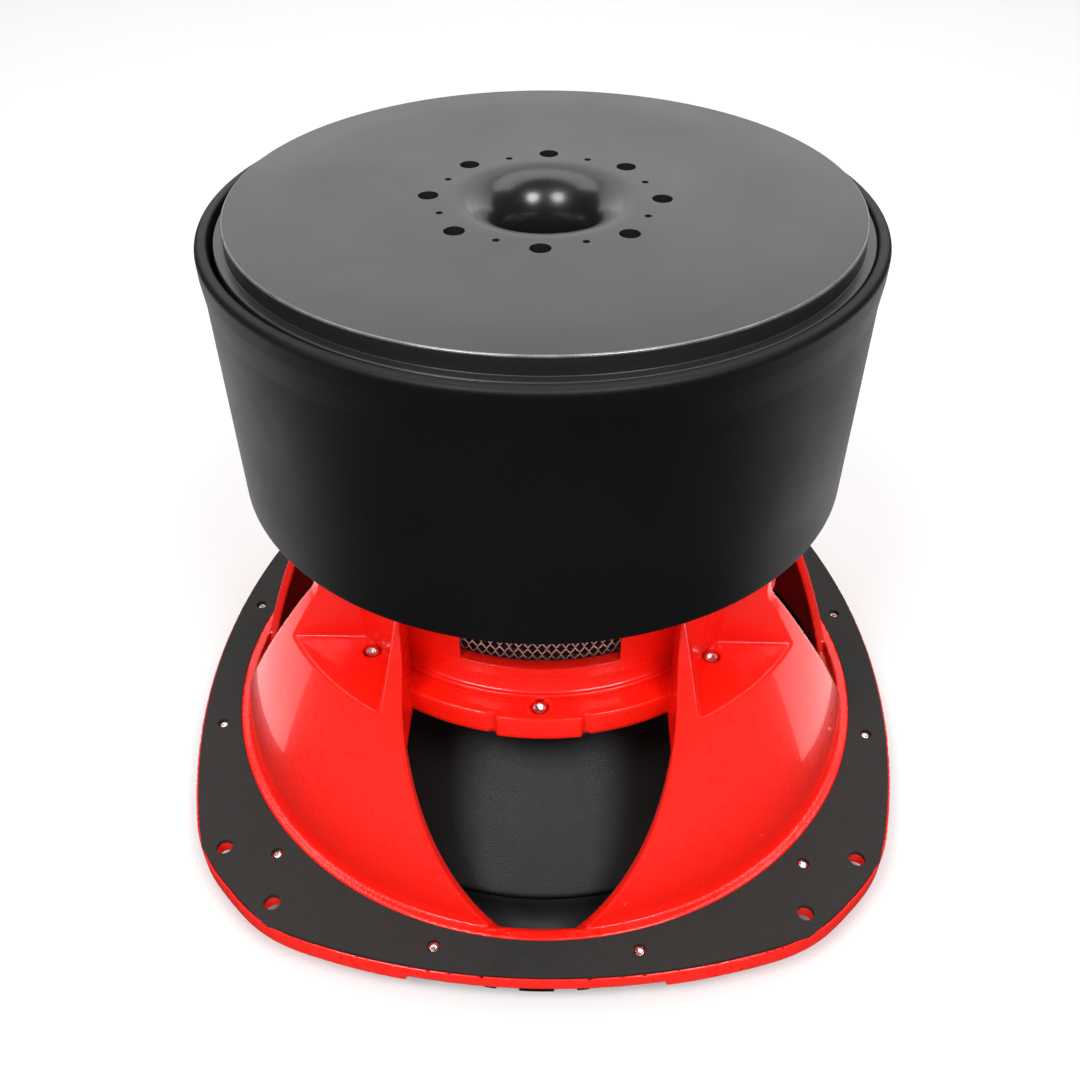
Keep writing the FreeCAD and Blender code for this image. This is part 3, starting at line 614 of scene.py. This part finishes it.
def makeYoke():
    size = yokeSizes
    throat, wide, narrow = size["throat"], size["flare"], size["mouth"]
    base = size["dish"][-1][1] - wide
    plateR, plateTop = size["plate"]
    discR, discTop = size["disc"]
    poleEnd, plateLow = size["poleEnd"], size["low"]
    flare = [(throat + wide - wide * math.sin(a), base + wide * math.cos(a))
             for a in np.radians(np.linspace(0, 90, 28))]
    mouth = [(throat + narrow - narrow * math.cos(a), poleEnd + narrow - narrow * math.sin(a))
             for a in np.radians(np.linspace(0, 90, 12))]
    rest = [(size["pole"], poleEnd), (size["pole"], 222), (size["neck"], 228), (size["neck"], plateLow),
            (plateR, plateLow)]
    step = roundedProfile([(plateR, plateLow, 0), (plateR, plateTop, 0.7), (discR, plateTop, 0.4),
                           (discR, discTop, 0.7), (60, discTop, 0)], 4)
    profile = size["dish"] + flare + mouth + rest + [tuple(p) for p in step[1:-1]]
    piece = lathe("yokePlate", profile, "blackSteel", segments=256)
    top, low = rear + discTop, rear + plateLow
    holes = []
    for k in range(8):
        for circle, radius, turn, bottom in ((size["holeCircle"], size["hole"], 0, low - 3),
                                             (size["dimpleCircle"], size["dimple"], 22.5, top - 8)):
            angle = math.radians(45 * k + turn + size["holeTurn"])
            holes.append((circle * math.cos(angle), circle * math.sin(angle), bottom, top + 4, radius))
    drillHoles(piece, holes)
    bevel = piece.modifiers.new("edges", "BEVEL")
    bevel.width = 0.35 * mm
    bevel.segments = 2
    bevel.limit_method = "ANGLE"
    bevel.angle_limit = math.radians(60)
    piece.modifiers.new("shading", "WEIGHTED_NORMAL")
    applyAll(piece)
    piece.data.materials.append(finishes["ventGloss"])
    piece.data.materials.append(finishes["wornEdge"])
    for face in piece.data.polygons:
        spot = face.center
        reach, height = math.hypot(spot.x, spot.y) / mm, spot.z / mm - rear
        if reach < size["vent"]:
            face.material_index = 1
        # the disc's rim edge gets the light painted-highlight finish
        elif reach > discR - 0.7 and height > discTop - 0.8:
            face.material_index = 2
    seat(piece, "frame", "black_steel", "t_yoke")


def makeBoot():
    piece = lathe("rubberBoot", roundedProfile(bootSizes["corners"], 8), "bootRubber", segments=256)
    piece.data.transform(Matrix.Translation((bootSizes["shift"] * mm, 0, 0)))
    seat(piece, "frame", "rubber", "magnet_boot")


makeYoke()
makeBoot()
for node, finish, slot in (("front_plate", "blackSteel", "black_steel"), ("magnet_1", "ferrite", "ferrite"),
                           ("magnet_2", "ferrite", "ferrite"), ("magnet_3", "ferrite", "ferrite"),
                           ("shorting_ring", "alloy", "aluminium")):
    seat(softened(node + "Body", node, finish, 0.6), "frame", slot, node)
print("motor made")


screwSizes = {
    "clampScrews": {
        "node": "surround_screws", "circle": 185, "count": 12, "first": 15, "top": -1.5, "upsideDown": False,
        "seed": 1, "screw": dict(head=2.15, headHeight=2.2, shank=1.5, length=8.4, socket=1.25, chamfer=0.5)},
    "spiderScrews": {
        "node": "spider_screws", "circle": 114.2, "count": 8, "first": 0, "top": 93.8, "upsideDown": False,
        "seed": 5, "screw": dict(head=3.4, headHeight=2.8, shank=2.0, length=15.4, socket=1.6, chamfer=1.0)},
    "motorBolts": {
        "node": "motor_bolts", "circle": 88, "count": 8, "first": 22.5, "top": 146, "upsideDown": True,
        "seed": 9, "screw": dict(head=5.0, headHeight=6.0, shank=3.0, length=25.9, socket=2.9, chamfer=0.6)},
}


def screwMesh(head, headHeight, shank, length, socket, chamfer):
    # rings of points round the screw; the socket's rings follow a hexagon
    sides = 48
    rings = [
        (0, -headHeight * 0.62, False), (socket, -headHeight * 0.62, True), (socket, -0.12, True),
        (socket + 0.12, 0, True), (head - chamfer, 0, False), (head - chamfer * 0.3, -chamfer * 0.3, False),
        (head, -chamfer, False), (head, -headHeight, False), (shank, -headHeight, False),
        (shank, -headHeight - length + 0.4, False), (shank - 0.4, -headHeight - length, False),
        (0, -headHeight - length, False)]
    points, faces = [], []
    for radius, z, six in rings:
        for k in range(sides):
            angle = math.tau * k / sides
            away = (angle + math.pi / 6) % (math.pi / 3) - math.pi / 6
            r = radius / math.cos(away) if six else radius
            points.append((r * math.cos(angle), r * math.sin(angle), z))
    for ring in range(len(rings) - 1):
        for k in range(sides):
            a, b = ring * sides + k, ring * sides + (k + 1) % sides
            faces.append((a, b, b + sides, a + sides))
    return np.array(points), faces


def screwGroup(name, circle, count, first, top, sizes, upsideDown, seed):
    single, faces = screwMesh(**sizes)
    chance = random.Random(seed)
    points, allFaces = [], []
    for k in range(count):
        angle = math.radians(first + 360 / count * k)
        spin = chance.uniform(0, math.tau)
        turn = np.array([
            [math.cos(spin), -math.sin(spin), 0], [math.sin(spin), math.cos(spin), 0], [0, 0, 1]])
        body = single @ turn.T
        if upsideDown:
            body = body * np.array([1, -1, -1])
        body = body + np.array([circle * math.cos(angle), circle * math.sin(angle), rear + top])
        allFaces += [tuple(len(points) + i for i in face) for face in faces]
        points += body.tolist()
    piece = newPiece(name, points, allFaces, "zinc")
    tool = bmesh.new()
    tool.from_mesh(piece.data)
    bmesh.ops.remove_doubles(tool, verts=tool.verts, dist=1e-6)
    bmesh.ops.dissolve_degenerate(tool, edges=tool.edges, dist=1e-7)
    bmesh.ops.recalc_face_normals(tool, faces=tool.faces)
    tool.to_mesh(piece.data)
    tool.free()
    piece.data.set_sharp_from_angle(angle=math.radians(28))
    return piece


def makeScrews():
    for name, size in screwSizes.items():
        piece = screwGroup(name, size["circle"], size["count"], size["first"], size["top"], size["screw"],
                           size["upsideDown"], size["seed"])
        seat(piece, "frame", "zinc_steel", size["node"])


makeScrews()
for node, finish, slot, width in (("rear_gasket", "gasketFoam", "foam", 0.5),
                                  ("surround_clamp_ring", "blackSteel", "black_steel", 0.4),
                                  ("front_trim_ring", "bootRubber", "rubber", 0.8),
                                  ("spider_clamp_ring", "blackSteel", "black_steel", 0.5)):
    seat(softened(node + "Body", node, finish, width), "frame", slot, node)
print("flange pieces made")


ventMesh = {"radius": 98.6, "half": 40.0, "low": 107.8, "high": 150.4, "pitch": 4.3, "row": 3.8,
            "strand": (0.34, 0.3)}


def makeMesh(number, facing):
    # rows of zigzag strands that meet at their points, bent to the drum
    size = ventMesh
    columns = int(2 * size["half"] / (size["pitch"] / 2))
    rows = int((size["high"] - size["low"]) / size["row"])
    wide, thick = size["strand"]
    points, faces = [], []
    for row in range(rows):
        base = size["low"] + size["row"] * (row + 0.5)
        start = len(points)
        for column in range(columns + 1):
            across = -size["half"] + column * size["pitch"] / 2
            lift = (1 if (column + row) % 2 else -1) * (size["row"] / 2 - wide * 0.35)
            lean = 0.45 if (column + row) % 2 else -0.45
            for du, dr in ((wide, thick), (wide, -thick), (-wide, -thick), (-wide, thick)):
                radius = size["radius"] + dr + lean * 0.6
                angle = across / size["radius"]
                points.append((radius * math.sin(angle), -radius * math.cos(angle), rear + base + lift + du))
        for column in range(columns):
            a = start + column * 4
            for side in range(4):
                b = (side + 1) % 4
                faces.append((a + side, a + b, a + 4 + b, a + 4 + side))
        faces.append((start, start + 1, start + 2, start + 3))
        last = start + columns * 4
        faces.append((last + 3, last + 2, last + 1, last))
    turn = math.radians(facing)
    spin = np.array([[math.cos(turn), math.sin(turn), 0], [-math.sin(turn), math.cos(turn), 0], [0, 0, 1]])
    piece = newPiece("ventMesh%d" % number, np.array(points) @ spin, faces, "chrome")
    tool = bmesh.new()
    tool.from_mesh(piece.data)
    bmesh.ops.recalc_face_normals(tool, faces=tool.faces)
    tool.to_mesh(piece.data)
    tool.free()
    piece.data.set_sharp_from_angle(angle=math.radians(40))
    seat(piece, "frame", "chrome_mesh", "vent_mesh_%d" % number)


for number, facing in ((1, 0), (2, 270), (3, 180), (4, 90)):
    makeMesh(number, facing)
print("vent mesh made")


coneSizes = {"edge": 147.5, "edgeHeight": -7.5, "slope": 0.78, "wall": 2.8, "neck": 51.8,
             "cap": 76.0, "capRise": 22.0}
coilSizes = {"inside": 51.76, "wire": 53.5, "bulge": 0.5, "low": 143.0, "high": 203.0, "turns": 60}
rollSizes = {"middle": 159.0, "outside": 13.6, "inside": 12.0, "height": -17.0, "clamp": 190.0}
spiderSizes = {"inside": 52.4, "outside": 118.8, "rollIn": 58.0, "rollOut": 104.0, "rolls": 5, "roll": 3.4,
               "height": 80.0, "half": 0.4, "sectors": 16}


def coneRear(r):
    return coneSizes["edgeHeight"] + coneSizes["slope"] * (coneSizes["edge"] - r)


def makeCone():
    edge, wall, neck = coneSizes["edge"], coneSizes["wall"], coneSizes["neck"]
    profile = [(edge, -10.2), (edge + 0.1, -8.2), (edge - 0.3, -7.4), (edge - 1.1, -6.7),
               (edge - 1.9, coneRear(edge - 1.9))]
    profile += [(r, coneRear(r)) for r in np.linspace(143, 60, 24)]
    profile += [(r, coneRear(r) + glue) for r, glue in ((57, 0.4), (54.5, 1.6), (53, 3.6), (neck, 5))]
    profile += [(neck, coneRear(neck) - wall)] + [(r, coneRear(r) - wall) for r in np.linspace(55, 146, 24)]
    piece = lathe("conePulp", profile, "coneSkin", segments=256)
    seat(piece, "cone_assembly", "cone_skin", "cone")
    rise, reach = coneSizes["capRise"], coneSizes["cap"]
    rim = coneRear(reach) - 3.0
    radius = (reach ** 2 + rise ** 2) / (2 * rise)
    outer = [(radius * math.sin(a), rim - rise + radius - radius * math.cos(a))
             for a in np.linspace(0, math.asin(reach / radius), 26)]
    inner = [(max(r - 0.05, 0), z + 1.5) for r, z in outer[::-1]]
    hem = [(reach - 0.4, rim - 0.5), (reach, rim), (reach - 0.2, rim + 0.6), (reach - 0.8, rim + 1)]
    cap = lathe("dustCap", outer[:-1] + hem + inner[1:], "coneSkin", segments=192)
    seat(cap, "cone_assembly", "cone_skin", "dust_cap")


def makeCoil():
    former = softened("coilFormer", "voice_coil_former", "alloy", 0.15)
    seat(former, "cone_assembly", "aluminium", "voice_coil_former")
    size = coilSizes
    low, high, turns, bulge = size["low"], size["high"], size["turns"], size["bulge"]
    profile = [(size["inside"], high), (size["inside"], low)]
    for k in range(turns):
        z = low + (high - low) / turns * (k + 0.5)
        profile += [(size["wire"] + bulge * math.cos(a), z + bulge * math.sin(a))
                    for a in np.radians((-80, -30, 30, 80))]
    winding = lathe("coilWinding", profile, "copper", segments=128)
    seat(winding, "cone_assembly", "copper_wire", "voice_coil_winding")


def makeSurround():
    # outer and inner halves of the roll part, split at its lowest point
    middle, outside, inside = rollSizes["middle"], rollSizes["outside"], rollSizes["inside"]
    clamp, height = rollSizes["clamp"], rollSizes["height"]

    def quarter(radius, start, stop):
        return [(middle + radius * math.cos(a), height - radius * math.sin(a))
                for a in np.radians(np.linspace(start, stop, 14))]

    outer = [(171, -10.9), (clamp, -10.9), (clamp, -9.1), (171.6, -9.1), (171, -9.7)] + quarter(inside, 0, 90)
    outer += quarter(outside, 90, 0) + [(172.6, -12.5), (172.2, -11.3)]
    inner = [(138.4, -6.1), (138.0, -4.2), (146.6, -10.9), (147.0, -11.8)] + quarter(inside, 180, 90)
    inner += quarter(outside, 90, 180) + [(145.4, -12.6), (145.2, -11.9)]
    halves = (("surroundOuter", outer, -10, -50), ("surroundInner", inner, -50, -10))
    for name, profile, start, end in halves:
        piece = lathe(name, profile, "foamRubber", segments=256)
        seat(piece, None, "surround_foam", "surround")
        (rear + start) * mm
        (rear + end) * mm
        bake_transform(piece)


def makeSpider():
    # corrugated cloth disc in sectors
    size = spiderSizes
    sectors, half, rollIn, rollOut = size["sectors"], size["half"], size["rollIn"], size["rollOut"]
    radii = np.linspace(size["inside"], size["outside"], 110)

    def wave(r):
        if not rollIn < r < rollOut:
            return size["height"]
        roll = size["roll"] * math.sin((r - rollIn) / (rollOut - rollIn) * math.tau * size["rolls"])
        return size["height"] + roll * max(min((r - rollIn) / 6, (rollOut - r) / 6, 1), 0)

    profile = [(r, wave(r) + half) for r in radii] + [(r, wave(r) - half) for r in radii[::-1]]
    for k in range(sectors):
        middle = 360 / sectors * k
        share = 180 / sectors
        piece = lathe("spider%02d" % (k + 1), profile, "spiderCloth", segments=10,
                      low=middle - share, high=middle + share)
        seat(piece, None, "cloth", "spider")
        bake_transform(piece)


makeCone()
makeCoil()
makeSurround()
makeSpider()
print("cone and suspension made")


def tube(points, radius, sides=8):
    # a closed tube along a list of points
    points = [Vector(p) for p in points]
    made, faces = [], []
    up = Vector((0.31, 0.17, 0.93)).normalized()
    for index, here in enumerate(points):
        way = (points[min(index + 1, len(points) - 1)] - points[max(index - 1, 0)]).normalized()
        side = way.cross(up).normalized()
        top = side.cross(way)
        for k in range(sides):
            angle = math.tau * k / sides
            made.append(here + (side * math.cos(angle) + top * math.sin(angle)) * radius)
    for ring in range(len(points) - 1):
        for k in range(sides):
            a, b = ring * sides + k, ring * sides + (k + 1) % sides
            faces.append((a, b, b + sides, a + sides))
    faces.append(tuple(range(sides))[::-1])
    faces.append(tuple(range((len(points) - 1) * sides, len(points) * sides)))
    return [tuple(p) for p in made], faces


springSizes = {"radius": 2.2, "wire": 0.22, "turns": 3.5, "steps": 84}
leadSizes = {"apart": 1.7, "from": 107.0, "to": 52.4, "strand": 0.42, "plait": 0.6, "twists": 9, "sag": 4.5,
             "height": 98.2, "steps": 72}
terminalAngles = (75, 105)


def makeTerminals():
    size = springSizes
    for number in (1, 2):
        block = "terminal_block_%d" % number
        seat(softened(block + "Body", block, "blackPlastic", 0.45), "frame", "terminal_plastic", block)
        for button in (number * 2 - 1, number * 2):
            node = "terminal_button_%d" % button
            finish, slot = ("redPlastic", "button_red") if button % 2 else ("blackPlastic", "button_black")
            seat(softened(node + "Body", node, finish, 0.5), "button_%d" % button, slot, node)
            low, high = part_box("terminal_spring_%d" % button)
            centre = (low + high) / 2 / mm
            coil = []
            steps, radius = size["steps"], size["radius"]
            for k in range(steps + 1):
                turn = math.tau * size["turns"] * k / steps
                height = low.z / mm + 0.25 + (high.z - low.z - 0.5 * mm) / mm * k / steps
                coil.append((centre.x + radius * math.cos(turn), centre.y + radius * math.sin(turn), height))
            points, faces = tube(coil, size["wire"], 6)
            spring = newPiece("buttonSpring%d" % button, points, faces, "zinc")
            seat(spring, None, "zinc_steel", "terminal_spring_%d" % button)
            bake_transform(spring)
    seat(softened("contactStrips", "terminal_contacts", "brass", 0.1), "frame", "brass", "terminal_contacts")


def makeTerminalScrews():
    sizes = dict(head=2.9, headHeight=1.8, shank=1.5, length=23.9, socket=1.3, chamfer=0.6)
    single, faces = screwMesh(**sizes)
    points, allFaces = [], []
    for side in terminalAngles:
        angle = math.radians(side)
        body = single + np.array([113.55 * math.cos(angle), 113.55 * math.sin(angle), rear + 111.8])
        allFaces += [tuple(len(points) + i for i in face) for face in faces]
        points += body.tolist()
    piece = newPiece("terminalScrews", points, allFaces, "zinc")
    piece.data.set_sharp_from_angle(angle=math.radians(28))
    seat(piece, "frame", "zinc_steel", "terminal_screws")


def makeLeads():
    # four woven leads: three strands plaited round a sagging line from the drum to the coil former
    size = leadSizes
    pieces = 0
    for side in terminalAngles:
        way = Vector((math.cos(math.radians(side)), math.sin(math.radians(side)), 0))
        across = Vector((-way.y, way.x, 0))
        for offset in (-size["apart"], size["apart"]):
            pieces += 1
            points, faces = [], []
            for strand in range(3):
                line = []
                for k in range(size["steps"] + 1):
                    share = k / size["steps"]
                    reach = size["from"] + (size["to"] - size["from"]) * share
                    phase = math.tau * (share * size["twists"] + strand / 3)
                    sag = -size["sag"] * math.sin(math.pi * share) ** 2
                    spot = way * reach + across * (offset + size["plait"] * math.sin(phase))
                    height = rear + size["height"] + sag + 0.35 * math.sin(2 * phase)
                    line.append(spot + Vector((0, 0, height)))
                more, sides = tube(line, size["strand"], 6)
                faces += [tuple(len(points) + i for i in face) for face in sides]
                points += more
            lead = newPiece("tinselLead%d" % pieces, points, faces, "braid")
            seat(lead, None, "braid", "tinsel_leads")
            height = Vector((0, 0, (rear + 98) * mm))
            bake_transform(lead)


makeTerminals()
makeTerminalScrews()
makeLeads()
print("terminals made")


stageSizes = {
    "floor": 8.0, "lens": 35.87, "shift": (-0.0046, 0.0011), "eye": (0.0096, -0.4380, 465.5), "aim": 95.6,
    # brightness of each lamp's face; cards are seen only in reflections
    "key": 17, "keyWide": 0.6, "backCard": 1.22, "floorCard": 1.2, "topCard": 2.8, "wash": 1.3,
    "fill": 0.7, "gloom": 0.04,   # the room as matt and as glossy surfaces see it
}


def areaLight(name, place, aim, size, radiance, round=False, seen=("diffuse", "glossy")):
    # size in metres; radiance is the brightness of its face
    light = bpy.data.lights.new(name, "AREA")
    light.shape = "DISK" if round else "RECTANGLE"
    light.size = size[0]
    if not round:
        light.size_y = size[1]
    area = math.pi * size[0] ** 2 / 4 if round else size[0] * size[1]
    light.energy = radiance * math.pi * area
    lamp = bpy.data.objects.new(name, light)
    bpy.context.scene.collection.objects.link(lamp)
    lamp.location = place
    lamp.rotation_euler = (Vector(aim) - Vector(place)).to_track_quat("-Z", "Y").to_euler()
    lamp.visible_camera = False
    lamp.visible_diffuse = "diffuse" in seen
    lamp.visible_glossy = "glossy" in seen
    return lamp


def makeRoom():
    # white to the camera, even grey to matt surfaces, nearly dark to glossy ones
    world = bpy.data.worlds.new("softRoom")
    bpy.context.scene.world = world
    world.use_nodes = True
    nodes, links = world.node_tree.nodes, world.node_tree.links
    rays = nodes.new("ShaderNodeLightPath")
    glossy = nodes.new("ShaderNodeMix")
    glossy.inputs["A"].default_value = stageSizes["fill"]
    glossy.inputs["B"].default_value = stageSizes["gloom"]
    seen = nodes.new("ShaderNodeMix")
    seen.inputs["B"].default_value = 1.0
    links.new(rays.outputs["Is Glossy Ray"], glossy.inputs["Factor"])
    links.new(rays.outputs["Is Camera Ray"], seen.inputs["Factor"])
    links.new(glossy.outputs["Result"], seen.inputs["A"])
    links.new(seen.outputs["Result"], nodes["Background"].inputs["Strength"])
    nodes["Background"].inputs["Color"].default_value = (1, 1, 1, 1)


def makeStage():
    half = stageSizes["floor"] / 2
    mesh = bpy.data.meshes.new("paleFloor")
    corners = [(-half, -half, 0), (half, -half, 0), (half, half, 0), (-half, half, 0)]
    mesh.from_pydata(corners, [], [(0, 1, 2, 3)])
    floor = bpy.data.objects.new("paleFloor", mesh)
    bpy.context.scene.collection.objects.link(floor)
    floor.location.z = -0.0003
    floor.visible_glossy = False
    plain = Paint("paleFloor", Roughness=0.9, Specular_IOR_Level=0.1)
    plain.feed("Base Color", plain.blend(plain.noise(3, 2), grey(0.88), grey(0.9)))
    mesh.materials.append(plain.material)
    makeRoom()
    middle = (0, 0, 0.16)
    for name, side in (("leftKey", -1), ("rightKey", 1)):
        areaLight(name, (side * 0.62, -0.92, 1.6), middle, (stageSizes["keyWide"],), stageSizes["key"],
                  round=True)
        areaLight(name + "Card", (side * 0.78, 0.42, 0.001), (side * 0.78, 0.42, 2), (1.1, 1.0),
                  stageSizes["floorCard"], seen=("glossy",))
    areaLight("backCard", (0, 1.9, 1.25), (0, 0, 0.25), (3.6, 1.7), stageSizes["backCard"], seen=("glossy",))
    areaLight("topCard", (0, 0.75, 2.3), (0, 0.1, 0.3), (3.0, 1.1), stageSizes["topCard"], seen=("glossy",))
    areaLight("backWash", (0, 1.7, 2.0), (0, 1.3, 0), (3.0, 1.2), stageSizes["wash"], seen=("diffuse",))
    bpy.context.scene.view_settings.view_transform = "Standard"


def makeCamera():
    camera = bpy.data.cameras.new("camera")
    camera.lens = stageSizes["lens"]
    camera.sensor_width = 36
    camera.shift_x, camera.shift_y = stageSizes["shift"]
    eye = bpy.data.objects.new("camera", camera)
    bpy.context.scene.collection.objects.link(eye)
    x, y, height = stageSizes["eye"]
    eye.location = (x, y, (rear + height) * mm)
    aim = Vector((0, 0, (rear + stageSizes["aim"]) * mm))
    eye.rotation_euler = (aim - eye.location).to_track_quat("-Z", "Y").to_euler()
    bpy.context.scene.camera = eye


makeStage()
makeCamera()


print("scene ready")
